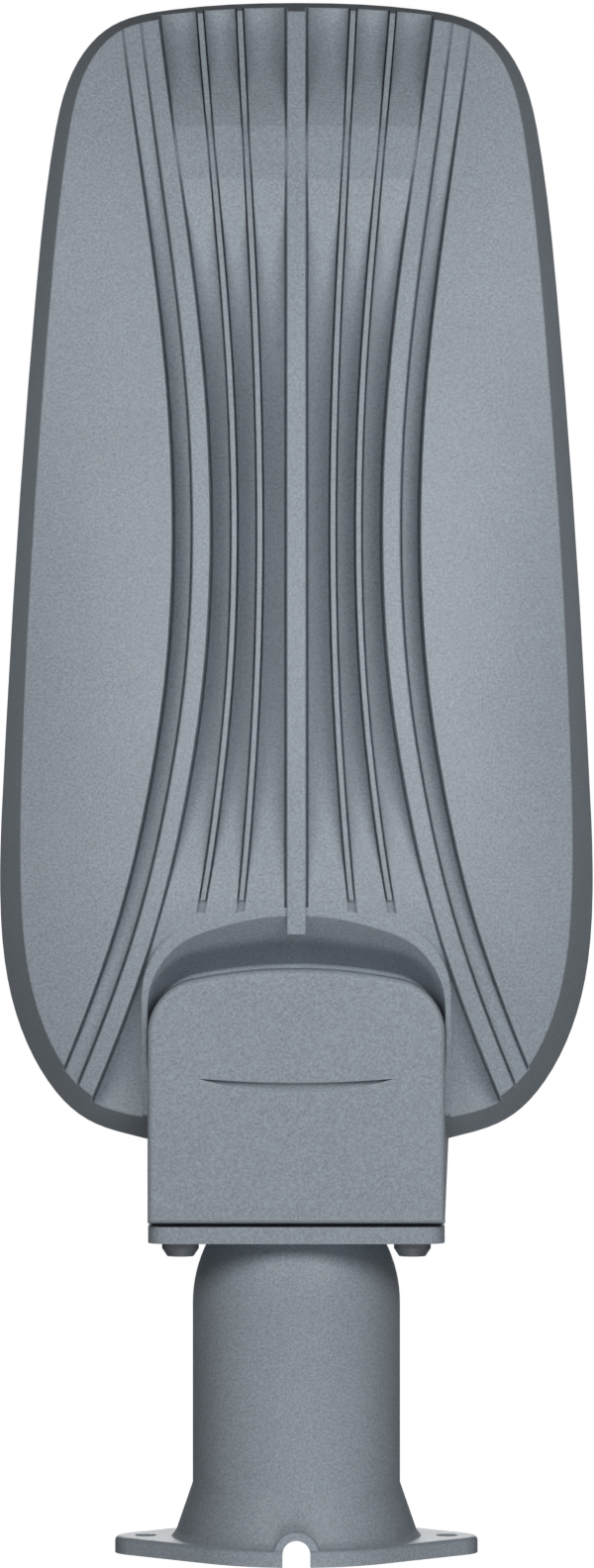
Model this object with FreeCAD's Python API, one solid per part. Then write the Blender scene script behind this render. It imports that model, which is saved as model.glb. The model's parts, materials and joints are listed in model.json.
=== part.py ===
import FreeCAD, Part
import math
import os
from FreeCAD import Rotation, Vector

os.makedirs("parts", exist_ok=True)

# Street light head, in millimetres. Y runs from the mouth of the pole socket to the tip,
# Z is up on the finned side, X runs across. The origin is the centre of the socket's mouth.

# Clearances
cover_gap = 0.3         # round a cover or a glass in its recess
screw_gap = 0.1         # round a screw's shank in its hole
head_gap = 0.4          # round a screw's head in its counterbore

# Pole bracket: socket, flange with two ears, and the plate that meets the neck
pole_radius = 30.0
pole_clearance = 0.5
tube_wall = 3.5
socket_depth = 78.0
tube_length = 103.6     # from the mouth to the plate
flange_thickness = 5.4
flange_radius = 43.0
flange_edge_radius = 1.6
ear_offset = 48.0
ear_radius = 11.5
ear_hole_offset = 49.5
ear_hole_radius = 3.5
flare_top = 23.0
flare_foot = 7.4
flare_radius = 39.4
flare_step = 1.5        # how much wider the foot is than the flare
shoulder_length = 21.6
shoulder_sweep = 43.4   # radius of the rounded shoulder
passage_radius = 24.5   # the cable's way from the socket into the neck
notch_width = 9.0
notch_height = 8.5
notch_border = 2.7
notch_border_reach = 41.6
plate_thickness = 5.4
plate_rise = 5.1        # above the neck's walls
plate_lip = 0.5         # below the neck
plate_corner = 7.0
seal_thickness = 1.0
bracket_seal_inset = 1.2

# Bracket screws
bracket_screw_inset = 10.4
bracket_screw_radius = 3.0
bracket_screw_head = 6.0
bracket_screw_head_height = 4.6
bracket_screw_length = 22.0
bracket_boss_wall = 2.6
bracket_boss_gap = 0.8  # under the neck cover's seal
screw_run_out = 1.5     # boss beyond a screw's tip

# Pole lock screws, on the tube's underside
lock_first = 34.0
lock_pitch = 28.0
lock_count = 2
lock_screw_radius = 4.0
lock_boss_radius = 8.5
lock_boss_reach = 38.0
lock_screw_proud = 0.5
lock_tip_gap = 0.4      # from a lock screw's tip to the bore
lock_socket_depth = 3.5

# Neck box, open at the top
neck_half_width = 48.0
neck_top = 31.4
neck_bottom = -33.0
neck_wall = 4.0
neck_edge_radius = 5.0
neck_level_length = 40.0    # from the neck's rear to where its floor starts to rise
neck_rise_length = 36.0

# Cover of the neck, flush with its walls
lid_length = 82.3       # from the neck's rear to the front of the arch
lid_arch_radius = 165.0
lid_corner_radius = 18.0
lid_height = 6.6        # with its seal
lid_skin = 3.0
lid_skirt = 2.4
lid_edge_radius = 2.2
lid_groove_half_length = 31.7
lid_groove_distance = 47.0  # from the neck's rear
lid_groove_sag = 1.3
lid_groove_width = 3.0
lid_groove_depth = 1.8
lid_post_inset = 12.5
lid_post_distance = 30.0    # from the neck's rear
lid_post_wall = 1.6
lid_boss_height = 5.0
lid_screw_radius = 2.0
lid_screw_head = 3.6
lid_screw_head_height = 2.6
lid_screw_length = 11.0
lid_screw_web = 4.4     # metal that the screw clamps
lid_seal_margin = 0.5

# Head: plan outline as shares of half the width and of the length, from the tip to the rear
head_setback = 22.0     # of the head's rear from the neck's
tip_margin = 33.3       # from the LED board to the tip
head_half_width = 97.6
outline = (
    (0.0, 1.0), (0.424, 0.994), (0.632, 0.9785), (0.737, 0.949), (0.819, 0.880), (0.881, 0.742),
    (0.942, 0.535), (0.988, 0.328), (1.0, 0.225), (0.950, 0.121), (0.821, 0.0525), (0.677, 0.0215),
    (0.493, 0.0075), (0.0, 0.0),
)
widest_z = -7.0
bottom_z = -16.0
rim_slope = 15.0        # degrees from upright
bottom_inset = 4.0

# Crown of the head: share of the length from the rear, height on the centre line and at the edge
crown_sections = (
    (-0.032, 27.0, 13.0), (0.053, 35.0, 18.5), (0.154, 41.0, 20.5), (0.209, 42.0, 20.0), (0.313, 41.0, 15.5),
    (0.445, 38.0, 11.0), (0.604, 32.0, 9.5), (0.763, 24.5, 9.5), (0.896, 18.0, 9.5), (1.023, 11.5, 8.0),
)
# Depths below the crown at those sections
valley_depths = (6.0, 7.0, 3.5, 1.2, 8.0, 10.5, 10.5, 6.0, 0.9, 0.3)    # between the outer ribs
channel_depths = (1.2, 2.0, 3.5, 5.0, 7.0, 8.5, 8.5, 5.5, 1.2, 0.3)     # outside them
slot_depths = (9.0, 9.0, 6.0, 3.0, 9.2, 12.0, 12.0, 7.8, 3.4, 3.6)      # beside the fins
fin_depths = (4.0, 4.0, 3.0, 1.5, 1.3, 1.3, 1.3, 1.3, 1.9, 3.0)         # fin tops

# Ribs and fins: the outer rib's centre line, as share of the length and offset from the middle
rib_line = (
    (1.0019, 48.8), (0.8216, 39.8), (0.6507, 32.4), (0.5248, 30.7), (0.3949, 33.5), (0.3112, 38.3),
    (0.2012, 47.9), (0.1076, 60.1), (0.0159, 74.5),
)
rib_width = 5.3
channel_width = 7.0
crease_width = 0.9      # of the line beside each rib, cut below the field there
crease_depth = 1.3
fin_shares = (0.385, 0.655)     # of the outer rib's offset
fin_width = 1.4
fin_root_width = 1.8
fin_slot_width = 2.8            # the groove that a fin stands in
fin_slot_end = 78.5             # from the head's rear
fin_setback = 4.0               # of the fin from its slot's end
spine_width = 5.8
spine_overhang = 7.7            # over the recess

# Recess in the head round the neck's front
recess_side_gap = 1.0   # beside the neck
recess_reach = 19.0     # in front of the neck's cover
recess_arch_radius = 110.0
recess_corner_radius = 24.0
recess_floor = 20.0
recess_toe = 1.2
recess_lip_width = 1.0
recess_lip_depth = 1.0  # of the lip's top below the crown

# Optical window in the underside
window_margin = 13.0    # from the bottom's widest line to the frame
window_gap = 3.0        # from the gear cover to the frame
window_corner = 9.0
frame_land = 8.0        # where the frame is screwed, outside the glass
frame_thickness = 3.5
frame_overlap = 4.5     # of the frame over the glass
glass_thickness = 4.0
glass_ledge = 4.0
frame_screw_rows = 4        # along each side
frame_screw_first = 14.0    # from the window's rear
frame_screw_last = 30.3     # from the window's front
frame_screw_ends = 30.0     # offset of the end screws from the middle
frame_screw_radius = 1.5
frame_screw_head = 2.9
frame_screw_head_height = 1.9
frame_screw_length = 9.0

# LED board and lens plate
pad_thickness = 0.5
board_play = 4.0        # between the board and the window's rear wall
board_side_play = 5.7
board_length = 158.0
board_corner = 14.0
board_thickness = 1.6
lens_columns = 4
lens_rows = 6
lens_margin = 1.5       # from the outermost domes to the plate's edge
lens_gap = 2.5          # from the domes to the glass
lens_radius = 9.0
lens_rise = 5.0
lens_plate_thickness = 2.0
lens_plate_border = 2.0
lens_plate_inset = 7.0      # from the board's edges
chip_half_size = 1.8
chip_height = 0.8
board_screw_radius = 1.5
board_screw_head = 2.6
board_screw_head_height = 1.6
board_screw_length = 7.0
board_screw_inset = 3.5

# Gear compartment and its cover, in the underside
gear_wall = 7.7         # between the neck's front and the compartment
gear_side_play = 3.0    # beside the driver's feet
gear_corner = 8.0
gear_land = 9.0         # width of the ledge that the cover is screwed to
gear_cover_thickness = 3.0
gear_field_rise = 1.5       # raised field inside the cover
gear_field_inset = 3.0
seal_inset = 0.5
gear_screw_radius = 2.0
gear_screw_head = 3.7
gear_screw_head_height = 1.6
gear_screw_length = 11.0
vent_radius = 6.0
vent_hex = 16.0
vent_hex_height = 3.0
vent_nut_height = 3.0
vent_side_distance = 18.0   # from the compartment's side and rear walls
vent_rear_distance = 13.0
vent_stem_proud = 1.0
vent_slot_width = 1.6
vent_slot_depth = 2.0

# Gear inside
driver_length = 126.0
driver_width = 54.0
driver_height = 26.0
driver_corner = 2.0
driver_foot = 8.0
driver_foot_thickness = 2.5
driver_foot_inset = 4.0
driver_gap = 3.5        # between the driver and the cover's raised field
surge_length = 52.0
surge_width = 18.0
surge_height = 22.0
gear_gap = 12.0         # between the surge protector and the driver
gear_play = 2.0         # between the driver and the front wall
surge_play = 4.0        # between the surge protector and the rear wall
gear_fix_radius = 1.9
gear_fix_head = 3.4
gear_fix_head_height = 2.2
gear_fix_length = 8.0

# Terminals, earth and cable entry, in the neck
terminal_pitch = 13.0
terminal_ways = 3
terminal_depth = 22.0
terminal_height = 18.0
terminal_base = -8.0
terminal_distance = 55.0    # from the neck's rear to the block's front
terminal_port_play = 1.2
terminal_row_share = 0.22   # of the block's depth, from its front and back to its screws
terminal_screw_sink = 1.2
terminal_slot_width = 0.7
terminal_slot_depth = 1.0
terminal_screw_radius = 2.2
terminal_screw_length = 6.0
terminal_fix_radius = 1.5
terminal_fix_head = 2.6
terminal_fix_head_height = 1.8
terminal_fix_bite = 7.0
earth_x = -20.0
earth_distance = 21.0       # from the neck's rear
earth_boss_radius = 6.0
earth_boss_height = 6.0
earth_screw_radius = 2.5
earth_screw_head = 4.5
earth_screw_head_height = 3.2
earth_screw_length = 8.0
earth_washer_radius = 5.6
earth_washer_thickness = 1.0
gland_thread_radius = 10.0
gland_flats = 25.0
gland_dome_radius = 10.5
gland_dome_mouth = 7.0
gland_body_length = 9.0
gland_dome_length = 8.0
gland_thread_length = 11.0
gland_cable_radius = 5.0
gland_nut_flats = 26.0
gland_nut_height = 5.0
gland_seal_thickness = 1.6
lead_hole_radius = 6.0
grommet_length = 8.0
grommet_wall = 1.6
grommet_lip = 1.6
lead_radius = 1.3
lead_spread = 2.8       # between the supply leads where they pass the grommet
lead_z = 0.0
lead_bend = 6.0
lead_straight = 6.0     # out of the terminals before the first bend
lead_gather = 5.0       # from the last bend to the neck's front wall
output_hole_radius = 4.0
output_spread = 2.0
output_reach = 4.0      # of the output leads over the board

# Screw heads and tips, as shares
pan_brim = 0.45         # of a pan head's height, up to its brim
pan_crown = 0.72        # of a pan head's radius, at its top
pan_socket_depth = 0.55     # of the head's height
flat_socket_depth = 0.5
socket_flats = 0.8      # of the head's radius
tip_radius = 0.7        # of the shank's
tip_taper = 0.3         # of the shank's radius

# Small overlaps of cuts and joined pieces
past = 1.0              # how far a cut runs past the face that it opens
rooted = 1.0            # how far a boss is sunk in what carries it
near = 0.01             # closer than this counts as the same place
far = 300.0
crown_room = 60.0       # taller than the crown

# Worked out from the above: bracket and neck
bore_radius = pole_radius + pole_clearance
tube_radius = bore_radius + tube_wall
shoulder_start = tube_length - shoulder_length
plate_face = tube_length + plate_thickness
plate_half_width = neck_half_width
plate_top = neck_top + plate_rise
plate_bottom = neck_bottom - plate_lip
neck_rear = plate_face + seal_thickness
neck_floor = neck_bottom + neck_wall
neck_rise_start = neck_rear + neck_level_length
neck_rise_end = neck_rise_start + neck_rise_length
lid_apex = neck_rear + lid_length
lid_top = neck_top + lid_height
lid_underside = neck_top + seal_thickness
bracket_boss_radius = bracket_screw_radius + bracket_boss_wall
bracket_screw_x = plate_half_width - bracket_screw_inset
bracket_screw_low = plate_bottom + bracket_screw_inset
bracket_screw_high = neck_top - bracket_boss_gap - bracket_boss_radius
bracket_screw_heights = (bracket_screw_low, bracket_screw_high)
bracket_hole_radius = bracket_screw_radius + screw_gap
lid_post_x = neck_half_width - lid_post_inset
lid_post_station = neck_rear + lid_post_distance
lid_post_top = neck_top - lid_boss_height
lid_screw_seat = lid_post_top - lid_screw_web
recess_half_width = neck_half_width + recess_side_gap
recess_apex = lid_apex + recess_reach
terminal_front = neck_rear + terminal_distance
terminal_rear = terminal_front - terminal_depth
terminal_middle = (terminal_front + terminal_rear) / 2
terminal_half_width = terminal_ways * terminal_pitch / 2
earth_station = neck_rear + earth_distance

# Gear compartment
cover_face = bottom_z + gear_cover_thickness
gear_field_face = cover_face + gear_field_rise
gear_ledge = cover_face + seal_thickness
gear_ceiling = gear_field_face + driver_gap + driver_height
gear_half_width = driver_length / 2 + driver_foot + gear_side_play
gear_rear = lid_apex + gear_wall
surge_rear = gear_rear + surge_play
surge_front = surge_rear + surge_width
driver_rear = surge_front + gear_gap
driver_front = driver_rear + driver_width
gear_front = driver_front + gear_play
vent_x = gear_half_width - vent_side_distance
vent_station = gear_rear + vent_rear_distance
grommet_station_front = gear_rear
grommet_station_rear = gear_rear - grommet_length

# Optical window and what is behind it
frame_face = bottom_z + frame_thickness
glass_face = frame_face + glass_thickness
glass_seat = glass_face + seal_thickness
window_inner = frame_land + glass_ledge
window_rear = gear_front + gear_land + window_gap
board_rear = window_rear + window_inner + board_play
board_front = board_rear + board_length
lens_face = glass_face + lens_gap + lens_rise
lens_plate_back = lens_face + lens_plate_thickness
chip_face = lens_plate_back + screw_gap
board_face = chip_face + chip_height
board_top = board_face + board_thickness
led_ceiling = board_top + pad_thickness
output_z = board_face - lead_radius

# Head
head_rear = neck_rear + head_setback
head_tip = board_front + tip_margin
head_length = head_tip - head_rear
spine_end = recess_apex - spine_overhang

up = Vector(0, 0, 1)
down = Vector(0, 0, -1)
along = Vector(0, 1, 0)
back = Vector(0, -1, 0)
across = Vector(1, 0, 0)


# General shapes

def cylinder(radius, height, position, direction):
    return Part.makeCylinder(radius, height, position, direction)


def block(x_low, x_high, y_low, y_high, z_low, z_high):
    corner = Vector(x_low, y_low, z_low)
    return Part.makeBox(x_high - x_low, y_high - y_low, z_high - z_low, corner)


def rounded_block(x_low, x_high, y_low, y_high, z_low, z_high, radius):
    """A block with its four upright edges rounded."""
    solid = block(x_low, x_high, y_low, y_high, z_low, z_high)
    upright = []
    for edge in solid.Edges:
        ends = [vertex.Point for vertex in edge.Vertexes]
        if abs(ends[0].z - ends[1].z) > near:
            upright.append(edge)
    return solid.makeFillet(radius, upright)


def prism(wire, height):
    """A flat wire raised along Z."""
    return Part.Face(wire).extrude(Vector(0, 0, height))


def turned(profile):
    """A closed profile of (radius, height) points turned round Z."""
    points = [Vector(radius, 0, height) for radius, height in profile]
    points.append(points[0])
    return Part.Face(Part.makePolygon(points)).revolve(Vector(0, 0, 0), up, 360)


def placed(shape, position, direction):
    """A shape made along +Z, turned to a direction and moved to a position."""
    moved = shape.copy()
    moved.Placement = FreeCAD.Placement(position, Rotation(up, direction))
    return moved


def joined(shapes):
    return shapes[0].multiFuse(shapes[1:]).removeSplitter()


def hexagon(across_flats, height):
    corner_radius = across_flats / math.sqrt(3)
    corners = []
    for corner in range(6):
        angle = math.pi / 3 * corner
        corners.append(Vector(corner_radius * math.cos(angle), corner_radius * math.sin(angle), 0))
    corners.append(corners[0])
    return prism(Part.makePolygon(corners), height)


def mirrored(shape):
    return shape.mirror(Vector(0, 0, 0), across)


def pan_screw(radius, length, head, head_height):
    """Head above z = 0 with a rounded brim and a hexagon socket, shank below."""
    body = turned([(0, -length), (radius * tip_radius, -length), (radius, -length + radius * tip_taper),
                   (radius, 0), (head, 0), (head, head_height * pan_brim), (head * pan_crown, head_height),
                   (0, head_height)])
    socket = hexagon(head * socket_flats, head_height * pan_socket_depth)
    socket.translate(Vector(0, 0, head_height * (1 - pan_socket_depth)))
    return body.cut(socket)


def flat_screw(radius, length, head, head_height):
    """Flat round head above z = 0 with a hexagon socket, shank below."""
    body = turned([(0, -length), (radius, -length), (radius, 0), (head, 0), (head, head_height),
                   (0, head_height)])
    socket = hexagon(head * socket_flats, head_height * flat_socket_depth)
    socket.translate(Vector(0, 0, head_height * (1 - flat_socket_depth)))
    return body.cut(socket)


def arch_wire(half_width, rear, apex, arch_radius, corner_radius, z):
    """Straight sides, two rounded corners and a shallow arch that peaks at the apex."""
    arch_centre = apex - arch_radius
    reach = arch_radius - corner_radius
    corner_x = half_width - corner_radius
    corner_y = arch_centre + math.sqrt(reach ** 2 - corner_x ** 2)
    touch = arch_radius / reach
    touch_x = corner_x * touch
    touch_y = arch_centre + (corner_y - arch_centre) * touch
    lean = math.atan2(corner_y - arch_centre, corner_x) / 2
    middle_x = corner_x + corner_radius * math.cos(lean)
    middle_y = corner_y + corner_radius * math.sin(lean)
    rear_right = Vector(half_width, rear, z)
    rear_left = Vector(-half_width, rear, z)
    side_right = Vector(half_width, corner_y, z)
    side_left = Vector(-half_width, corner_y, z)
    arch_right = Vector(touch_x, touch_y, z)
    arch_left = Vector(-touch_x, touch_y, z)
    return Part.Wire([
        Part.makeLine(rear_left, rear_right),
        Part.makeLine(rear_right, side_right),
        Part.Arc(side_right, Vector(middle_x, middle_y, z), arch_right).toShape(),
        Part.Arc(arch_right, Vector(0, apex, z), arch_left).toShape(),
        Part.Arc(arch_left, Vector(-middle_x, middle_y, z), side_left).toShape(),
        Part.makeLine(side_left, rear_left),
    ])


def lid_wire(growth, rear, z):
    """The outline of the neck and its cover, grown outwards."""
    return arch_wire(neck_half_width + growth, rear, lid_apex + growth, lid_arch_radius + growth,
                     lid_corner_radius + growth, z)


# Head outline, crown and rib lines

def half_outline(inset, z):
    """The right half of the head's outline, moved inwards, from the tip to the rear."""
    points = [Vector(x * head_half_width, head_rear + y * head_length, 0) for x, y in outline]
    curve = Part.BSplineCurve()
    curve.interpolate(Points=points, InitialTangent=across, FinalTangent=across * -1)
    moved = []
    for point in points:
        tangent = curve.tangent(curve.parameter(point))[0]
        moved.append(point + Vector(tangent.y, -tangent.x, 0) * inset + Vector(0, 0, z))
    inner = Part.BSplineCurve()
    inner.interpolate(Points=moved, InitialTangent=across, FinalTangent=across * -1)
    return inner.toShape()


def head_wire(inset, z):
    right = half_outline(inset, z)
    return Part.Wire([right, mirrored(right)])


def half_width_at(inset, station):
    """How far the outline, moved inwards, lies from the middle at a station along the head."""
    ray = Part.makeLine(Vector(0, station, 0), Vector(far, station, 0))
    return half_outline(inset, 0).distToShape(ray)[1][0][0].x


def crown(depths):
    """All that lies below the crowned top, sunk by a depth at each section."""
    sections = []
    for (share, middle, edge), depth in zip(crown_sections, depths):
        station = head_rear + share * head_length
        arc = Part.Arc(Vector(-head_half_width, station, edge - depth),
                       Vector(0, station, middle - depth),
                       Vector(head_half_width, station, edge - depth))
        sections.append(Part.Wire([arc.toShape()]))
    surface = Part.makeLoft(sections, False, False)
    return surface.Faces[0].extrude(down * far)


def line_beside(share, offset):
    """A spline along the outer rib, its distance from the middle scaled and then moved outwards."""
    points = [Vector(x * share, head_rear + y * head_length, 0) for y, x in rib_line]
    middle = Part.BSplineCurve()
    middle.interpolate(points)
    moved = []
    for point in points:
        tangent = middle.tangent(middle.parameter(point))[0]
        moved.append(point + Vector(-tangent.y, tangent.x, 0) * offset)
    beside = Part.BSplineCurve()
    beside.interpolate(moved)
    return beside


def strip_wire(share, low, high, z):
    """A band along a rib line, between two offsets from it."""
    outer = line_beside(share, high)
    inner = line_beside(share, low)
    edges = [
        outer.toShape(),
        Part.makeLine(outer.EndPoint, inner.EndPoint),
        inner.toShape(),
        Part.makeLine(inner.StartPoint, outer.StartPoint),
    ]
    wire = Part.Wire(Part.__sortEdges__(edges))
    wire.translate(Vector(0, 0, z))
    return wire


def middle_field(offset):
    """The field between two mirrored lines beside the outer ribs, as a tall block."""
    edge = line_beside(1.0, offset)
    right = edge.toShape()
    tip = Part.makeLine(edge.StartPoint, Vector(-edge.StartPoint.x, edge.StartPoint.y, 0))
    rear = Part.makeLine(edge.EndPoint, Vector(-edge.EndPoint.x, edge.EndPoint.y, 0))
    return prism(Part.Wire(Part.__sortEdges__([right, tip, mirrored(right), rear])), crown_room)


# Heat-sink housing

def highest_crown():
    return max(middle for share, middle, edge in crown_sections)


def head_walls():
    """The sloped side walls above the widest line, up past the crown."""
    rise = highest_crown() + past - widest_z
    inset = rise * math.tan(math.radians(rim_slope))
    return Part.makeLoft([head_wire(0, widest_z), head_wire(inset, widest_z + rise)], True, True)


def fin(share, room):
    """A thin fin, wider at its root than at its top."""
    root = strip_wire(share, -fin_root_width / 2, fin_root_width / 2, 0)
    top = strip_wire(share, -fin_width / 2, fin_width / 2, crown_room)
    return Part.makeLoft([root, top], True, True).common(room)


def behind_tip(start, height):
    """All of the head from a distance in front of its rear, up to a height."""
    return block(-far, far, head_rear + start, head_tip, 0, height)


def creases():
    """Narrow grooves beside the ribs and the spine, at the wings' edges and round each fin."""
    rib_edge = rib_width / 2
    wing_edge = rib_edge + channel_width
    sunk_channel = crown([depth + crease_depth for depth in channel_depths])
    sunk_valley = crown([depth + crease_depth for depth in valley_depths])
    reach = spine_width / 2 + crease_width
    grooves = [block(-reach, reach, spine_end, head_tip, 0, crown_room).cut(sunk_valley)]
    bands = [
        (strip_wire(1.0, rib_edge, rib_edge + crease_width, 0), sunk_channel),
        (strip_wire(1.0, wing_edge - crease_width, wing_edge, 0), sunk_channel),
        (strip_wire(1.0, -rib_edge - crease_width, -rib_edge, 0), sunk_valley),
    ]
    halves = [prism(wire, crown_room).cut(below) for wire, below in bands]
    start = behind_tip(fin_slot_end, crown_room)
    for share in fin_shares:
        slot = prism(strip_wire(share, -fin_slot_width / 2, fin_slot_width / 2, 0), crown_room)
        halves.append(slot.common(start).cut(crown(slot_depths)))
    return grooves + halves + [mirrored(groove) for groove in halves]


def recess_lip():
    """A thin wall left standing round the recess where the field beside it is sunk."""
    width = recess_lip_width
    outer = arch_wire(recess_half_width + width, neck_rear, recess_apex + width, recess_arch_radius + width,
                      recess_corner_radius + width, 0)
    band = prism(outer, crown_room).cut(recess())
    return band.common(crown([recess_lip_depth] * len(crown_sections)))


def recess():
    """The arched recess round the neck's front, its wall sloping down to the neck."""
    rear = neck_rear
    brow = highest_crown() + past
    top = arch_wire(recess_half_width, rear, recess_apex, recess_arch_radius, recess_corner_radius, brow)
    foot = arch_wire(neck_half_width - recess_toe, rear, lid_apex + recess_toe,
                     lid_arch_radius, lid_corner_radius, recess_floor)
    return Part.makeLoft([foot, top], True, True)


def below_neck(lift):
    """What is taken away where the neck's floor rises to the head's underside."""
    start = Vector(-far, neck_rise_start, neck_bottom + lift)
    end = Vector(-far, neck_rise_end, bottom_z + lift)
    profile = Part.makePolygon([
        start, end, end + along * far, end + along * far + down * far, start + down * far, start,
    ])
    return Part.Face(profile).extrude(across * (2 * far))


def neck_shell():
    """The neck box's outside: arched in plan, its lower edges rounded."""
    shell = prism(lid_wire(0, neck_rear, neck_bottom), neck_top - neck_bottom)
    sides = []
    for edge in shell.Edges:
        box = edge.BoundBox
        if box.ZMax < neck_bottom + near and box.YLength > neck_wall and box.XLength < near:
            sides.append(edge)
    return shell.makeFillet(neck_edge_radius, sides).cut(below_neck(0))


def neck_cavity():
    """The neck's inside, and the room that its cover takes above the walls."""
    inside = prism(lid_wire(-neck_wall, neck_rear + neck_wall, neck_floor), lid_top - neck_floor)
    room = prism(lid_wire(cover_gap, neck_rear - past, neck_top), lid_top - neck_top)
    return [inside.cut(below_neck(neck_wall)), room]


def neck_fittings():
    """Bosses and posts inside the neck, and the plinth under the terminals."""
    pieces = []
    boss_length = bracket_screw_length - plate_thickness + screw_run_out
    for x in (-bracket_screw_x, bracket_screw_x):
        for z in bracket_screw_heights:
            pieces.append(cylinder(bracket_boss_radius, boss_length, Vector(x, neck_rear + rooted, z), along))
    foot = neck_floor - rooted
    for x in (-lid_post_x, lid_post_x):
        pieces.append(cylinder(lid_post_wall + lid_screw_head + head_gap, lid_post_top - foot,
                               Vector(x, lid_post_station, foot), up))
    pieces.append(cylinder(earth_boss_radius, earth_boss_height + rooted,
                           Vector(earth_x, earth_station, foot), up))
    plinth = block(-terminal_half_width, terminal_half_width, terminal_rear, terminal_front, foot,
                   terminal_base)
    pieces.append(plinth.cut(below_neck(neck_wall - rooted)))
    return pieces


def neck_holes():
    """Screw holes, the gland's hole and the way for the leads into the gear compartment."""
    holes = []
    wall = Vector(0, neck_rear - past, 0)
    for x in (-bracket_screw_x, bracket_screw_x):
        for z in bracket_screw_heights:
            holes.append(cylinder(bracket_hole_radius, bracket_screw_length, wall + Vector(x, 0, z), along))
    for x in (-lid_post_x, lid_post_x):
        foot = Vector(x, lid_post_station, neck_bottom - past)
        holes.append(cylinder(lid_screw_head + head_gap, lid_screw_seat - foot.z, foot, up))
        holes.append(cylinder(lid_screw_radius + screw_gap, lid_post_top - foot.z + past, foot, up))
    holes.append(cylinder(earth_screw_radius + screw_gap, earth_screw_length,
                          Vector(earth_x, earth_station, neck_floor + earth_boss_height), down))
    for x in terminal_fix_places():
        holes.append(cylinder(terminal_fix_radius + screw_gap, terminal_fix_bite + screw_run_out,
                              Vector(x, terminal_middle, terminal_base), down))
    holes.append(cylinder(gland_thread_radius + screw_gap, neck_wall + 2 * past, wall, along))
    inner_front = lid_apex - neck_wall
    holes.append(cylinder(lead_hole_radius, gear_rear - inner_front + 2 * past,
                          Vector(0, inner_front - past, lead_z), along))
    return holes


def window_block(inset, z_low, z_high):
    """The optical window's outline, moved inwards, as a block with rounded rear corners."""
    whole = prism(head_wire(window_margin + inset, z_low), z_high - z_low)
    front = whole.common(block(-far, far, window_rear + inset, far * 2, z_low, z_high))
    corners = []
    for edge in front.Edges:
        box = edge.BoundBox
        if box.ZLength > near and box.YMax < window_rear + inset + near:
            corners.append(edge)
    return front.makeFillet(window_corner, corners)


def gear_block(growth, z_low, z_high):
    return rounded_block(-gear_half_width - growth, gear_half_width + growth, gear_rear - growth,
                         gear_front + growth, z_low, z_high, gear_corner + growth / 2)


def underside_cavities():
    """The window's steps for frame, glass and LED board, and the gear compartment."""
    return [
        window_block(0, bottom_z - past, frame_face),
        window_block(frame_land, frame_face - past, glass_seat),
        window_block(window_inner, glass_seat - past, led_ceiling),
        gear_block(gear_land, bottom_z - past, gear_ledge),
        gear_block(0, gear_ledge - past, gear_ceiling),
    ]


def frame_screw_places():
    """Along the frame's two sides, and a pair at each end."""
    line = window_margin + frame_land / 2
    first = window_rear + frame_screw_first
    run = head_tip - window_margin - frame_screw_last - first
    places = []
    for row in range(frame_screw_rows):
        station = first + run * row / (frame_screw_rows - 1)
        x = half_width_at(line, station)
        places += [(-x, station), (x, station)]
    for x in (-frame_screw_ends, frame_screw_ends):
        places.append((x, window_rear + frame_land / 2))
        places.append((x, head_tip - line - outline_sag(x)))
    return places


def outline_sag(x):
    """How far the tip has curved back at a distance from the middle."""
    ray = Part.makeLine(Vector(x, head_tip - head_length / 4, 0), Vector(x, head_tip + past, 0))
    inner = half_outline(0, 0)
    if x < 0:
        inner = mirrored(inner)
    return head_tip - inner.distToShape(ray)[1][0][0].y


def gear_screw_places():
    side = gear_half_width + gear_land / 2
    places = []
    for x in (-side, side):
        for y in (gear_rear, (gear_rear + gear_front) / 2, gear_front):
            places.append((x, y))
    return places


def board_half_width():
    """As wide as the window allows at the board's front corners."""
    return half_width_at(window_margin + window_inner, board_front - board_corner) - board_side_play


def board_screw_places():
    side = board_half_width() - board_screw_inset
    first = board_rear + board_corner
    last = board_front - board_corner
    return [(x, y) for x in (-side, side) for y in (first, (first + last) / 2, last)]


def driver_screw_places():
    side = (driver_length + driver_foot) / 2
    quarter = driver_width / 4
    return [(x, y) for x in (-side, side) for y in (driver_rear + quarter, driver_front - quarter)]


def terminal_fix_places():
    return (-terminal_pitch / 2, terminal_pitch / 2)


def underside_holes():
    """Screw holes for the frame, the gear cover, the LED board and the gear."""
    holes = []
    for x, y in frame_screw_places():
        seat = Vector(x, y, bottom_z)
        holes.append(cylinder(frame_screw_radius + screw_gap, frame_screw_length, seat, up))
    for x, y in gear_screw_places():
        seat = Vector(x, y, bottom_z)
        holes.append(cylinder(gear_screw_radius + screw_gap, gear_screw_length, seat, up))
    for x, y in board_screw_places():
        seat = Vector(x, y, board_face)
        holes.append(cylinder(board_screw_radius + screw_gap, board_screw_length, seat, up))
    for x, y in driver_screw_places():
        seat = Vector(x, y, gear_ceiling - driver_foot_thickness)
        holes.append(cylinder(gear_fix_radius + screw_gap, gear_fix_length, seat, up))
    holes.append(cylinder(output_hole_radius, window_rear + window_inner - gear_front + 2 * past,
                          Vector(0, gear_front - past, output_z), along))
    return holes


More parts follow.
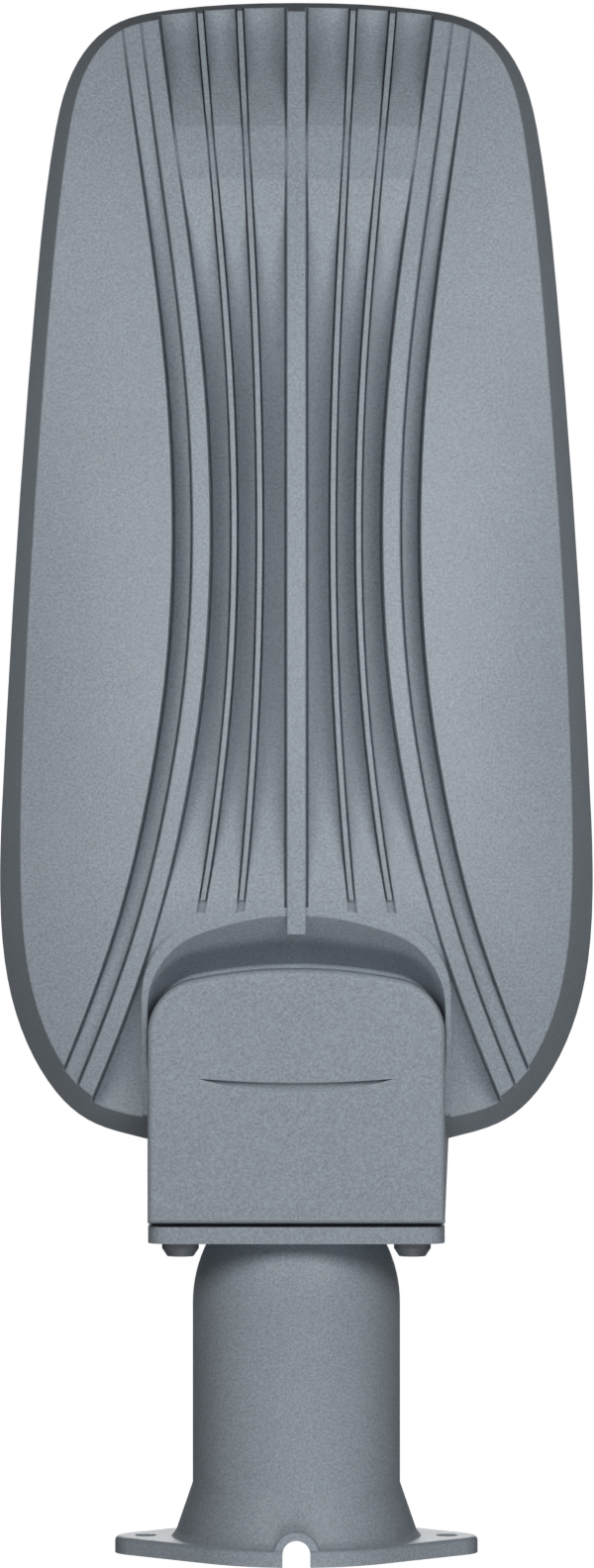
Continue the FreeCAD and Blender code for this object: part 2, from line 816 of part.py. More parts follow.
def heatsink_housing():
    """One casting: crowned and ribbed head, arched recess, neck box and the hollows below."""
    walls = head_walls()
    level = [0.0] * len(crown_sections)
    whole = walls.common(crown(level))
    rib_edge = rib_width / 2
    valley_field = middle_field(rib_edge)
    channels = middle_field(rib_edge + channel_width).cut(valley_field).cut(crown(channel_depths))
    valley = valley_field.cut(crown(valley_depths))
    body = whole.cut([channels, valley, recess()] + creases())

    rib = prism(strip_wire(1.0, -rib_edge, rib_edge, 0), crown_room).common(whole)
    spine = block(-spine_width / 2, spine_width / 2, spine_end, head_tip, 0, crown_room).common(whole)
    ribs = [rib, mirrored(rib), spine, recess_lip().common(walls)]
    room = walls.common(crown(fin_depths)).common(behind_tip(fin_slot_end + fin_setback, crown_room))
    for share in fin_shares:
        thin = fin(share, room)
        ribs += [thin, mirrored(thin)]

    skirt = Part.makeLoft([head_wire(bottom_inset, bottom_z), head_wire(0, widest_z)], True, True)
    body = body.multiFuse(ribs + [skirt, neck_shell()])
    body = body.cut(neck_cavity() + underside_cavities())
    body = body.multiFuse(neck_fittings())
    return body.cut(neck_holes() + underside_holes()).removeSplitter()


# Neck cover

def neck_cover():
    """A shallow lid with a skirt, an arched front and a grip groove."""
    rear = neck_rear + cover_gap
    solid = prism(lid_wire(0, rear, lid_underside), lid_top - lid_underside)
    edges = [edge for edge in solid.Edges if edge.BoundBox.ZMin > lid_top - near]
    solid = solid.makeFillet(lid_edge_radius, edges)
    hollow = prism(lid_wire(-lid_skirt, rear + lid_skirt, lid_underside), lid_top - lid_skin - lid_underside)
    solid = solid.cut(hollow)
    pieces = [solid]
    holes = [grip_groove()]
    for x in (-lid_post_x, lid_post_x):
        foot = Vector(x, lid_post_station, lid_post_top)
        pieces.append(cylinder(lid_post_wall + lid_screw_head, lid_top - lid_skin + rooted - lid_post_top,
                               foot, up))
        holes.append(cylinder(lid_screw_radius + screw_gap, lid_screw_length - lid_screw_web + screw_gap,
                              foot, up))
    return joined(pieces).cut(holes)


def grip_groove():
    """A crescent in plan, tapering to its ends."""
    z = lid_top - lid_groove_depth
    station = neck_rear + lid_groove_distance
    start = Vector(-lid_groove_half_length, station, z)
    end = Vector(lid_groove_half_length, station, z)
    inner = Vector(0, station - lid_groove_sag, z)
    outer = inner - along * lid_groove_width
    wire = Part.Wire([Part.Arc(start, inner, end).toShape(), Part.Arc(end, outer, start).toShape()])
    return prism(wire, lid_groove_depth + past)


def neck_cover_seal():
    width = neck_wall - lid_seal_margin
    outer = prism(lid_wire(0, neck_rear + cover_gap, neck_top), seal_thickness)
    return outer.cut(prism(lid_wire(-width, neck_rear + cover_gap + width, neck_top), seal_thickness))


def neck_cover_screws():
    screw = pan_screw(lid_screw_radius, lid_screw_length, lid_screw_head, lid_screw_head_height)
    return Part.makeCompound([placed(screw, Vector(x, lid_post_station, lid_screw_seat), down)
                              for x in (-lid_post_x, lid_post_x)])


# Pole bracket

def two_ear_outline(z):
    """A disc and two smaller ears, joined by their common tangents, with Y as the short way."""
    lean = math.acos((flange_radius - ear_radius) / ear_offset)
    disc = Vector(flange_radius * math.cos(lean), flange_radius * math.sin(lean), z)
    ear = Vector(ear_offset + ear_radius * math.cos(lean), ear_radius * math.sin(lean), z)

    def flipped(point, x, y):
        return Vector(point.x * x, point.y * y, z)

    return Part.Wire([
        Part.Arc(disc, Vector(0, flange_radius, z), flipped(disc, -1, 1)).toShape(),
        Part.makeLine(flipped(disc, -1, 1), flipped(ear, -1, 1)),
        Part.Arc(flipped(ear, -1, 1), Vector(-ear_offset - ear_radius, 0, z), flipped(ear, -1, -1)).toShape(),
        Part.makeLine(flipped(ear, -1, -1), flipped(disc, -1, -1)),
        Part.Arc(flipped(disc, -1, -1), Vector(0, -flange_radius, z), flipped(disc, 1, -1)).toShape(),
        Part.makeLine(flipped(disc, 1, -1), flipped(ear, 1, -1)),
        Part.Arc(flipped(ear, 1, -1), Vector(ear_offset + ear_radius, 0, z), ear).toShape(),
        Part.makeLine(ear, disc),
    ])


def tube_outside():
    """Flared foot, straight tube and rounded shoulder, turned about the socket's axis."""
    neck = tube_length + rooted
    run = neck - shoulder_start
    half = run / 2

    def sunk(distance):
        return tube_radius - shoulder_sweep + math.sqrt(shoulder_sweep ** 2 - distance ** 2)

    foot = flare_radius + flare_step
    points = [Vector(0, 0, 0), Vector(foot, 0, 0), Vector(foot, flange_thickness, 0),
              Vector(flare_radius, flare_foot, 0), Vector(tube_radius, flare_top, 0),
              Vector(tube_radius, shoulder_start, 0)]
    shoulder = Part.Arc(points[-1], Vector(sunk(half), shoulder_start + half, 0), Vector(sunk(run), neck, 0))
    edges = [Part.makeLine(first, second) for first, second in zip(points, points[1:])]
    edges += [shoulder.toShape(), Part.makeLine(Vector(sunk(run), neck, 0), Vector(0, neck, 0)),
              Part.makeLine(Vector(0, neck, 0), points[0])]
    return Part.Face(Part.Wire(edges)).revolve(Vector(0, 0, 0), along, 360)


def notch_block(growth, z_low, z_high):
    """The cable notch's arched outline, grown, as a block along Z."""
    radius = notch_width / 2 + growth
    centre = notch_height - notch_width / 2
    wire = Part.Wire([
        Part.makeLine(Vector(-radius, centre, z_low), Vector(-radius, -past, z_low)),
        Part.makeLine(Vector(-radius, -past, z_low), Vector(radius, -past, z_low)),
        Part.makeLine(Vector(radius, -past, z_low), Vector(radius, centre, z_low)),
        Part.Arc(Vector(radius, centre, z_low), Vector(0, centre + radius, z_low),
                 Vector(-radius, centre, z_low)).toShape(),
    ])
    return prism(wire, z_high - z_low)


def plate_block(inset, y_low, y_high):
    """The plate's rounded outline, moved inwards, between two stations."""
    solid = block(-plate_half_width + inset, plate_half_width - inset, y_low, y_high,
                  plate_bottom + inset, plate_top - inset)
    corners = [edge for edge in solid.Edges if edge.BoundBox.YLength > (y_high - y_low) / 2]
    return solid.makeFillet(plate_corner - inset, corners)


def lock_stations():
    return [lock_first + lock_pitch * screw for screw in range(lock_count)]


def pole_bracket():
    """One casting: eared flange, flared tube with the pole's bore, and the plate at its end."""
    flange = placed(prism(two_ear_outline(0), flange_thickness), Vector(0, 0, 0), along)
    rim = [edge for edge in flange.Edges if edge.BoundBox.YMin > flange_thickness - near]
    flange = flange.makeFillet(flange_edge_radius, rim)
    border = notch_block(notch_border, bore_radius, notch_border_reach)
    border = border.common(block(-far, far, 0, far, 0, far))
    pieces = [flange, tube_outside(), plate_block(0, tube_length, plate_face), border]
    for station in lock_stations():
        pieces.append(cylinder(lock_boss_radius, lock_boss_reach, Vector(0, station, 0), down))
    holes = [
        cylinder(bore_radius, socket_depth, Vector(0, 0, 0), along),
        cylinder(passage_radius, plate_face, Vector(0, 0, 0), along),
        notch_block(0, 0, far),
    ]
    for x in (-ear_hole_offset, ear_hole_offset):
        holes.append(cylinder(ear_hole_radius, flange_thickness, Vector(x, 0, 0), along))
    for x in (-bracket_screw_x, bracket_screw_x):
        for z in bracket_screw_heights:
            holes.append(cylinder(bracket_hole_radius, plate_face, Vector(x, tube_length - past, z), along))
    for station in lock_stations():
        holes.append(cylinder(lock_screw_radius + screw_gap, far, Vector(0, station, 0), down))
    return joined(pieces).cut(holes)


def bracket_seal():
    solid = plate_block(bracket_seal_inset, plate_face, neck_rear)
    solid = solid.common(block(-far, far, 0, far, -far, neck_top))
    holes = [cylinder(passage_radius, plate_face, Vector(0, tube_length, 0), along)]
    for x in (-bracket_screw_x, bracket_screw_x):
        for z in bracket_screw_heights:
            holes.append(cylinder(bracket_hole_radius, plate_face, Vector(x, tube_length, z), along))
    return solid.cut(holes)


def bracket_screws():
    screw = pan_screw(bracket_screw_radius, bracket_screw_length, bracket_screw_head,
                      bracket_screw_head_height)
    return Part.makeCompound([placed(screw, Vector(x, tube_length, z), back)
                              for x in (-bracket_screw_x, bracket_screw_x) for z in bracket_screw_heights])


def pole_lock_screws():
    """Set screws whose tips stop just outside the pole's bore."""
    tip = bore_radius + lock_tip_gap
    end = lock_boss_reach + lock_screw_proud
    body = cylinder(lock_screw_radius, end - tip, Vector(0, 0, 0), down)
    socket = hexagon(lock_screw_radius, lock_socket_depth)
    socket.translate(Vector(0, 0, tip - end))
    screw = body.cut(socket)
    return Part.makeCompound([placed(screw, Vector(0, station, -tip), up) for station in lock_stations()])


# Cable entry and terminals

def cable_gland():
    """Threaded stem, hexagon body and domed cap, with the cable's hole through them."""
    stem = cylinder(gland_thread_radius, gland_thread_length, Vector(0, 0, 0), down)
    seat = cylinder(gland_thread_radius, gland_seal_thickness, Vector(0, 0, 0), up)
    body = hexagon(gland_flats, gland_body_length)
    body.translate(Vector(0, 0, gland_seal_thickness))
    shoulder = gland_seal_thickness + gland_body_length
    dome = turned([(0, shoulder), (gland_dome_radius, shoulder),
                   (gland_dome_radius, shoulder + gland_dome_length / 2),
                   (gland_dome_mouth, shoulder + gland_dome_length), (0, shoulder + gland_dome_length)])
    solid = joined([stem, seat, body, dome])
    solid = solid.cut(cylinder(gland_cable_radius, far, Vector(0, 0, -far / 2), up))
    return placed(solid, Vector(0, neck_rear, 0), back)


def gland_seal():
    ring = cylinder(gland_flats / 2, gland_seal_thickness, Vector(0, 0, 0), up)
    ring = ring.cut(cylinder(gland_thread_radius + screw_gap, gland_seal_thickness, Vector(0, 0, 0), up))
    return placed(ring, Vector(0, neck_rear, 0), back)


def gland_locknut():
    nut = hexagon(gland_nut_flats, gland_nut_height)
    nut = nut.cut(cylinder(gland_thread_radius + screw_gap, gland_nut_height, Vector(0, 0, 0), up))
    return placed(nut, Vector(0, neck_rear + neck_wall, 0), along)


def terminal_ports():
    """Middle of each way, across the block."""
    first = -(terminal_ways - 1) / 2 * terminal_pitch
    return [first + way * terminal_pitch for way in range(terminal_ways)]


def terminal_block():
    """Insulating block with a wire entry and two clamp wells in each way."""
    top = terminal_base + terminal_height
    solid = block(-terminal_half_width, terminal_half_width, terminal_rear, terminal_front,
                  terminal_base, top)
    holes = []
    for x in terminal_ports():
        holes.append(cylinder(lead_radius + terminal_port_play, terminal_depth / 3,
                              Vector(x, terminal_rear, lead_z), along))
        holes.append(cylinder(lead_radius + screw_gap, terminal_depth / 3,
                              Vector(x, terminal_front, lead_z), back))
        for y in terminal_screw_rows():
            well = Vector(x, y, top)
            holes.append(cylinder(terminal_screw_radius + screw_gap, terminal_screw_length, well, down))
    for x in terminal_fix_places():
        fixing = Vector(x, terminal_middle, top)
        holes.append(cylinder(terminal_fix_radius + screw_gap, terminal_height, fixing, down))
    return solid.cut(holes)


def terminal_screw_rows():
    inset = terminal_depth * terminal_row_share
    return (terminal_rear + inset, terminal_front - inset)


def terminal_screws():
    """Slotted clamp screws, sunk a little in their wells."""
    top = terminal_base + terminal_height
    sunk = terminal_screw_sink
    half_slot = terminal_slot_width / 2
    body = cylinder(terminal_screw_radius, terminal_screw_length - sunk, Vector(0, 0, -sunk), down)
    slot = block(-terminal_screw_radius, terminal_screw_radius, -half_slot, half_slot,
                 -sunk - terminal_slot_depth, -sunk)
    screw = body.cut(slot)
    return Part.makeCompound([placed(screw, Vector(x, y, top), up)
                              for x in terminal_ports() for y in terminal_screw_rows()])


def terminal_fixings():
    screw = pan_screw(terminal_fix_radius, terminal_height + terminal_fix_bite, terminal_fix_head,
                      terminal_fix_head_height)
    return Part.makeCompound([placed(screw, Vector(x, terminal_middle, terminal_base + terminal_height), up)
                              for x in terminal_fix_places()])


def earth_washer():
    seat = Vector(earth_x, earth_station, neck_floor + earth_boss_height)
    ring = cylinder(earth_washer_radius, earth_washer_thickness, seat, up)
    return ring.cut(cylinder(earth_screw_radius + screw_gap, earth_washer_thickness, seat, up))


def earth_screw():
    screw = pan_screw(earth_screw_radius, earth_screw_length, earth_screw_head, earth_screw_head_height)
    seat = neck_floor + earth_boss_height + earth_washer_thickness
    return placed(screw, Vector(earth_x, earth_station, seat), up)


def lead_grommet():
    """Rubber bush in the wall between the neck and the gear compartment."""
    inner = lead_hole_radius - grommet_wall
    length = grommet_station_front - grommet_station_rear
    sleeve = cylinder(lead_hole_radius, length, Vector(0, grommet_station_rear, lead_z), along)
    front = Vector(0, grommet_station_front, lead_z)
    lip = cylinder(lead_hole_radius + grommet_wall, grommet_lip, front, along)
    return joined([sleeve, lip]).cut(cylinder(inner, far, Vector(0, 0, lead_z), along))


def bent_lead(points, bend):
    """A round lead along straight runs joined by tangent arcs."""
    edges = []
    start = points[0]
    for before, corner, after in zip(points, points[1:], points[2:]):
        arriving = (corner - before).normalize()
        leaving = (after - corner).normalize()
        half_turn = arriving.getAngle(leaving) / 2
        reach = bend * math.tan(half_turn)
        first = corner - arriving * reach
        last = corner + leaving * reach
        inward = (leaving - arriving).normalize()
        middle = corner + inward * (bend / math.cos(half_turn) - bend)
        edges.append(Part.makeLine(start, first))
        edges.append(Part.Arc(first, middle, last).toShape())
        start = last
    edges.append(Part.makeLine(start, points[-1]))
    path = Part.Wire(edges)
    ring = Part.Wire([Part.makeCircle(lead_radius, points[0], points[1] - points[0])])
    return path.makePipeShell([ring], True, True)


def supply_leads():
    """Three leads from the terminals through the grommet to the surge protector."""
    leads = []
    for way, x in enumerate(terminal_ports()):
        gathered = (way - (terminal_ways - 1) / 2) * lead_spread
        start = Vector(x, terminal_front - terminal_depth / 3, lead_z)
        end = Vector(gathered, surge_rear, lead_z)
        if abs(x - gathered) < near:
            leads.append(cylinder(lead_radius, end.y - start.y, start, along))
        else:
            leads.append(bent_lead([start, Vector(x, terminal_front + lead_straight, lead_z),
                                    Vector(gathered, lid_apex - neck_wall - lead_gather, lead_z), end],
                                   lead_bend))
    return Part.makeCompound(leads)


# Gear

def surge_protector():
    return rounded_block(-surge_length / 2, surge_length / 2, surge_rear, surge_front,
                         gear_ceiling - surge_height, gear_ceiling, driver_corner)


def driver_leads():
    """Leads from the surge protector to the driver."""
    leads = []
    for way in range(terminal_ways):
        x = (way - (terminal_ways - 1) / 2) * lead_spread
        leads.append(cylinder(lead_radius, driver_rear - surge_front, Vector(x, surge_front, lead_z), along))
    return Part.makeCompound(leads)


def led_driver():
    """Potted driver in a metal case with a fixing foot at each end."""
    half = driver_length / 2
    case = rounded_block(-half, half, driver_rear, driver_front, gear_ceiling - driver_height, gear_ceiling,
                         driver_corner)
    foot = block(-half - driver_foot, half + driver_foot, driver_rear + driver_foot_inset,
                 driver_front - driver_foot_inset, gear_ceiling - driver_foot_thickness, gear_ceiling)
    holes = []
    for x, y in driver_screw_places():
        foot_top = Vector(x, y, gear_ceiling)
        holes.append(cylinder(gear_fix_radius + screw_gap, driver_foot_thickness, foot_top, down))
    return joined([case, foot]).cut(holes)


def driver_screws():
    screw = pan_screw(gear_fix_radius, gear_fix_length, gear_fix_head, gear_fix_head_height)
    seat = gear_ceiling - driver_foot_thickness
    return Part.makeCompound([placed(screw, Vector(x, y, seat), down) for x, y in driver_screw_places()])


def gear_cover():
    """Flat cast cover with a raised stiffening field inside."""
    plate = gear_block(gear_land - cover_gap, bottom_z, cover_face)
    field = gear_block(-gear_field_inset, cover_face - rooted, gear_field_face)
    solid = joined([plate, field])
    holes = []
    for x, y in gear_screw_places():
        face = Vector(x, y, bottom_z)
        holes.append(cylinder(gear_screw_radius + screw_gap, gear_cover_thickness, face, up))
        holes.append(cylinder(gear_screw_head + head_gap, gear_screw_head_height, face, up))
    holes.append(cylinder(vent_radius + screw_gap, gear_field_face - bottom_z,
                          Vector(vent_x, vent_station, bottom_z), up))
    return solid.cut(holes)


def gear_cover_seal():
    outer = gear_block(gear_land - cover_gap, cover_face, gear_ledge)
    ring = outer.cut(gear_block(seal_inset, cover_face, gear_ledge))
    holes = [cylinder(gear_screw_radius + screw_gap, seal_thickness, Vector(x, y, cover_face), up)
             for x, y in gear_screw_places()]
    return ring.cut(holes)


def gear_cover_screws():
    length = gear_screw_length - gear_screw_head_height - screw_gap
    screw = flat_screw(gear_screw_radius, length, gear_screw_head, gear_screw_head_height)
    seat = bottom_z + gear_screw_head_height
    return Part.makeCompound([placed(screw, Vector(x, y, seat), down) for x, y in gear_screw_places()])


def vent_plug():
    """Breather with a hexagon head outside the cover."""
    head = hexagon(vent_hex, vent_hex_height)
    stem_length = gear_field_face - bottom_z + vent_nut_height + vent_stem_proud
    stem = cylinder(vent_radius, stem_length, Vector(0, 0, 0), down)
    slots = []
    for turn in range(6):
        slot = block(vent_hex / 2 - vent_slot_depth, vent_hex, -vent_slot_width / 2, vent_slot_width / 2,
                     vent_hex_height / 3, vent_hex_height * 2 / 3)
        slot.rotate(Vector(0, 0, 0), up, 60 * turn)
        slots.append(slot)
    plug = joined([head, stem]).cut(slots)
    return placed(plug, Vector(vent_x, vent_station, bottom_z), down)


def vent_nut():
    nut = hexagon(vent_hex, vent_nut_height)
    nut = nut.cut(cylinder(vent_radius + screw_gap, vent_nut_height, Vector(0, 0, 0), up))
    return placed(nut, Vector(vent_x, vent_station, gear_field_face), up)


# Optics

def board_block(inset, z_low, z_high):
    half_width = board_half_width() - inset
    return rounded_block(-half_width, half_width, board_rear + inset, board_front - inset, z_low, z_high,
                         board_corner - inset)


def board_holes(z_low, z_high):
    return [cylinder(board_screw_radius + screw_gap, z_high - z_low, Vector(x, y, z_low), up)
            for x, y in board_screw_places()]


def thermal_pad():
    return board_block(0, board_top, led_ceiling).cut(board_holes(board_top, led_ceiling))


def led_board():
    return board_block(0, board_face, board_top).cut(board_holes(board_face, board_top))


def board_screws():
    screw = pan_screw(board_screw_radius, board_screw_length - screw_gap, board_screw_head,
                      board_screw_head_height)
    return Part.makeCompound([placed(screw, Vector(x, y, board_face), down) for x, y in board_screw_places()])


def lens_places():
    margin = lens_plate_inset + lens_margin + lens_radius
    reach_x = board_half_width() - margin
    reach_y = board_length / 2 - margin
    middle = (board_rear + board_front) / 2
    places = []
    for column in range(lens_columns):
        for row in range(lens_rows):
            places.append((reach_x * (2 * column / (lens_columns - 1) - 1),
                           middle + reach_y * (2 * row / (lens_rows - 1) - 1)))
    return places


def led_chips():
    return Part.makeCompound([block(x - chip_half_size, x + chip_half_size, y - chip_half_size,
                                    y + chip_half_size, chip_face, board_face) for x, y in lens_places()])


def lens_array():
    """Clear plate with a border that stands on the board, and a domed lens over each LED."""
    plate = board_block(lens_plate_inset, lens_face, board_face)
    plate = plate.cut(board_block(lens_plate_inset + lens_plate_border, lens_plate_back, board_face))
    ball = (lens_radius ** 2 + lens_rise ** 2) / (2 * lens_rise)
    root = lens_face + lens_plate_thickness / 2
    domes = []
    for x, y in lens_places():
        dome = Part.makeSphere(ball, Vector(x, y, lens_face - lens_rise + ball))
        domes.append(dome.common(cylinder(ball, ball, Vector(x, y, root), down)))
    return plate.multiFuse(domes).removeSplitter()


def output_leads():
    """Two leads from the driver through the wall to the LED board."""
    leads = []
    for side in (-1, 1):
        start = Vector(side * output_spread, driver_front, output_z)
        leads.append(cylinder(lead_radius, board_rear + output_reach - driver_front, start, along))
    return Part.makeCompound(leads)


def glass_seal():
    outer = window_block(frame_land + cover_gap, glass_face, glass_seat)
    return outer.cut(window_block(window_inner - seal_inset, glass_face, glass_seat))


def glass_cover():
    return window_block(frame_land + cover_gap, frame_face, glass_face)


def glass_frame():
    """Flat ring that holds the glass, with its screws sunk flush."""
    ring = window_block(cover_gap, bottom_z, frame_face)
    ring = ring.cut(window_block(frame_land + frame_overlap, bottom_z, frame_face))
    holes = []
    for x, y in frame_screw_places():
        face = Vector(x, y, bottom_z)
        holes.append(cylinder(frame_screw_radius + screw_gap, frame_thickness, face, up))
        holes.append(cylinder(frame_screw_head + head_gap, frame_screw_head_height, face, up))
    return ring.cut(holes)


def frame_screws():
    length = frame_screw_length - frame_screw_head_height - screw_gap
    screw = flat_screw(frame_screw_radius, length, frame_screw_head, frame_screw_head_height)
    seat = bottom_z + frame_screw_head_height
    return Part.makeCompound([placed(screw, Vector(x, y, seat), down) for x, y in frame_screw_places()])


subparts = {
    "heatsink_housing": heatsink_housing,
    "neck_cover": neck_cover,
    "neck_cover_seal": neck_cover_seal,
    "neck_cover_screws": neck_cover_screws,
    "pole_bracket": pole_bracket,
    "bracket_seal": bracket_seal,
    "bracket_screws": bracket_screws,
    "pole_lock_screws": pole_lock_screws,
    "cable_gland": cable_gland,
    "gland_seal": gland_seal,
    "gland_locknut": gland_locknut,
    "terminal_block": terminal_block,
    "terminal_screws": terminal_screws,
    "terminal_fixings": terminal_fixings,
    "earth_washer": earth_washer,
    "earth_screw": earth_screw,
    "lead_grommet": lead_grommet,
    "supply_leads": supply_leads,
    "surge_protector": surge_protector,
    "driver_leads": driver_leads,
    "led_driver": led_driver,
    "driver_screws": driver_screws,
    "gear_cover": gear_cover,
    "gear_cover_seal": gear_cover_seal,
    "gear_cover_screws": gear_cover_screws,
    "vent_plug": vent_plug,
    "vent_nut": vent_nut,
    "thermal_pad": thermal_pad,
    "led_board": led_board,
    "board_screws": board_screws,
    "led_chips": led_chips,
    "lens_array": lens_array,
    "output_leads": output_leads,
    "glass_seal": glass_seal,
    "glass_cover": glass_cover,
    "glass_frame": glass_frame,
    "frame_screws": frame_screws,
}

for name, make in subparts.items():
    shape = make()
    shape.exportStep("parts/" + name + ".step")
    print(name, "solids", len(shape.Solids), "valid", shape.isValid(), "volume", round(shape.Volume))
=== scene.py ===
import bpy
import json
from mathutils import Color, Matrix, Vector


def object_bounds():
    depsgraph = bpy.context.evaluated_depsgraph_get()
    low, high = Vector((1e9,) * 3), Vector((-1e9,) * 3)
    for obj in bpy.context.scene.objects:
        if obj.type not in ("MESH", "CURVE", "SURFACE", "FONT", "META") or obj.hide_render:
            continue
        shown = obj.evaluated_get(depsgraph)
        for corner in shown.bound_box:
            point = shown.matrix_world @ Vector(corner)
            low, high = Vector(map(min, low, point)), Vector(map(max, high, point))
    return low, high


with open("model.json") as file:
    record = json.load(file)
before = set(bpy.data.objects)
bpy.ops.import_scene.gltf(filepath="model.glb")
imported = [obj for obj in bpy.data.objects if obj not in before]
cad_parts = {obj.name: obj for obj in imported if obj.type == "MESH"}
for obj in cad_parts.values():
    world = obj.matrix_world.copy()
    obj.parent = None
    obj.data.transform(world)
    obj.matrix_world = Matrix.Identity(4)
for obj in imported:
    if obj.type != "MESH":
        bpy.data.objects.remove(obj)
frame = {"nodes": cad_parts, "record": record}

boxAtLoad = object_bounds()
nodes = frame["nodes"]
print("loaded", len(nodes), "cast, turned and moulded parts")


# Studio: the lamp head lies with its ribbed side up and is seen from straight above. Lengths are in metres

studio = {
    "lookAt": (0.0002, 0.2520),     # where the picture's middle falls
    "cameraHeight": 2.05,
    "seenLength": 0.5148,           # how much of the plane z = 0 the picture's long side takes in
    "skyColour": (1.0, 1.0, 1.0, 1.0),
    "skyAsLight": 0.10,             # strength with which the sky lights matt surfaces
    "skyToEye": 1.0,                # strength with which it is seen, where 1 is white
    "skyInMirrors": 1.0,            # share of the seen sky that glossy surfaces show
    "floorSize": 14.0,
    "floorGap": 0.0004,             # below the lowest point
    "floorColour": (0.10, 0.10, 0.102, 1.0),
    "floorGlow": 0.97,              # what makes the floor pale to the eye
    "floorInMirrors": 0.06,         # share of the glow that glossy surfaces show
}

# Round soft lamps: size is the width across, power is in watts
lamps = {
    "rightBox": {"place": (0.21, 0.37, 0.38), "target": (0.01, 0.35, 0.0), "size": 0.28, "power": 0.80},
    "leftBox": {"place": (-0.21, 0.37, 0.38), "target": (-0.01, 0.35, 0.0), "size": 0.28, "power": 0.66},
    "rearBox": {"place": (0.04, -0.17, 0.27), "target": (0.0, 0.02, 0.0), "size": 0.22, "power": 0.42},
    "underBox": {"place": (0.0, 0.22, -0.80), "target": (0.0, 0.25, 0.0), "size": 0.44, "power": 3.9},
}

camera = bpy.data.objects.new("photoCamera", bpy.data.cameras.new("photoCamera"))
camera.data.lens = camera.data.sensor_width * studio["cameraHeight"] / studio["seenLength"]
camera.location = (*studio["lookAt"], studio["cameraHeight"])
bpy.context.scene.collection.objects.link(camera)
bpy.context.scene.camera = camera
bpy.context.scene.view_settings.view_transform = "Standard"


def addLamp(name, values):
    lamp = bpy.data.objects.new(name, bpy.data.lights.new(name, "AREA"))
    lamp.data.shape = "DISK"
    lamp.data.size = values["size"]
    lamp.data.energy = values["power"]
    lamp.location = values["place"]
    away = Vector(values["place"]) - Vector(values["target"])
    lamp.rotation_euler = away.to_track_quat("Z", "Y").to_euler()
    lamp.visible_camera = False
    bpy.context.scene.collection.objects.link(lamp)


for name, values in lamps.items():
    addLamp(name, values)


# A socket takes a fixed value, or what another socket puts out
def feed(tree, socket, value):
    if isinstance(value, bpy.types.NodeSocket):
        tree.links.new(value, socket)
    else:
        socket.default_value = value


def mathNode(tree, operation, *values):
    node = tree.nodes.new("ShaderNodeMath")
    node.operation = operation
    for socket, value in zip(node.inputs, values):
        feed(tree, socket, value)
    return node.outputs[0]


# 1 for rays that show the background to the eye or through glass, a share of it in mirrors, else 0
def paleForTheEye(tree, mirrorShare):
    path = tree.nodes.new("ShaderNodeLightPath")
    mirrored = mathNode(tree, "MULTIPLY", path.outputs["Is Glossy Ray"], mirrorShare)
    straight = mathNode(tree, "MAXIMUM", path.outputs["Is Camera Ray"], path.outputs["Is Transmission Ray"])
    return mathNode(tree, "MAXIMUM", straight, mirrored)


def buildSky():
    world = bpy.data.worlds.new("studioSky")
    bpy.context.scene.world = world
    world.use_nodes = True
    tree = world.node_tree
    sky = tree.nodes["Background"]
    strength = tree.nodes.new("ShaderNodeMapRange")
    strength.inputs["To Min"].default_value = studio["skyAsLight"]
    strength.inputs["To Max"].default_value = studio["skyToEye"]
    tree.links.new(paleForTheEye(tree, studio["skyInMirrors"]), strength.inputs["Value"])
    tree.links.new(strength.outputs[0], sky.inputs["Strength"])
    sky.inputs["Color"].default_value = studio["skyColour"]


# Matt with a glow for the eye. Seen or lit from below, the floor isn't there
def floorPaint():
    paint = bpy.data.materials.new("paleFloor")
    paint.use_nodes = True
    tree = paint.node_tree
    tree.nodes.clear()
    matt = tree.nodes.new("ShaderNodeBsdfDiffuse")
    matt.inputs["Color"].default_value = studio["floorColour"]
    glow = tree.nodes.new("ShaderNodeEmission")
    seen = mathNode(tree, "MULTIPLY", paleForTheEye(tree, studio["floorInMirrors"]), studio["floorGlow"])
    tree.links.new(seen, glow.inputs["Strength"])
    both = tree.nodes.new("ShaderNodeAddShader")
    tree.links.new(matt.outputs[0], both.inputs[0])
    tree.links.new(glow.outputs[0], both.inputs[1])
    side = tree.nodes.new("ShaderNodeMixShader")
    below = tree.nodes.new("ShaderNodeNewGeometry").outputs["Backfacing"]
    lit = tree.nodes.new("ShaderNodeLightPath").outputs["Is Shadow Ray"]
    tree.links.new(mathNode(tree, "MAXIMUM", below, lit), side.inputs[0])
    tree.links.new(both.outputs[0], side.inputs[1])
    tree.links.new(tree.nodes.new("ShaderNodeBsdfTransparent").outputs[0], side.inputs[2])
    tree.links.new(side.outputs[0], tree.nodes.new("ShaderNodeOutputMaterial").inputs["Surface"])
    return paint


def buildFloor():
    half = studio["floorSize"] / 2
    z = boxAtLoad[0].z - studio["floorGap"]
    corners = [(-half, -half, z), (half, -half, z), (half, half, z), (-half, half, z)]
    mesh = bpy.data.meshes.new("floor")
    mesh.from_pydata(corners, [], [(0, 1, 2, 3)])
    mesh.materials.append(floorPaint())
    floor = bpy.data.objects.new("floor", mesh)
    bpy.context.scene.collection.objects.link(floor)


buildSky()
buildFloor()
print("studio ready")


# Effects that the finishes share, each a node group. A noise of scale 1000 has spots of about 1 mm

noiseMiddle = 0.5                   # what the noise swings round, between 0 and 1


def newGroup(name, inputs, outputs):
    group = bpy.data.node_groups.new(name, "ShaderNodeTree")
    for way, sockets in (("INPUT", inputs), ("OUTPUT", outputs)):
        for label, kind in sockets.items():
            group.interface.new_socket(label, in_out=way, socket_type="NodeSocket" + kind)
    return group, group.nodes.new("NodeGroupInput"), group.nodes.new("NodeGroupOutput")


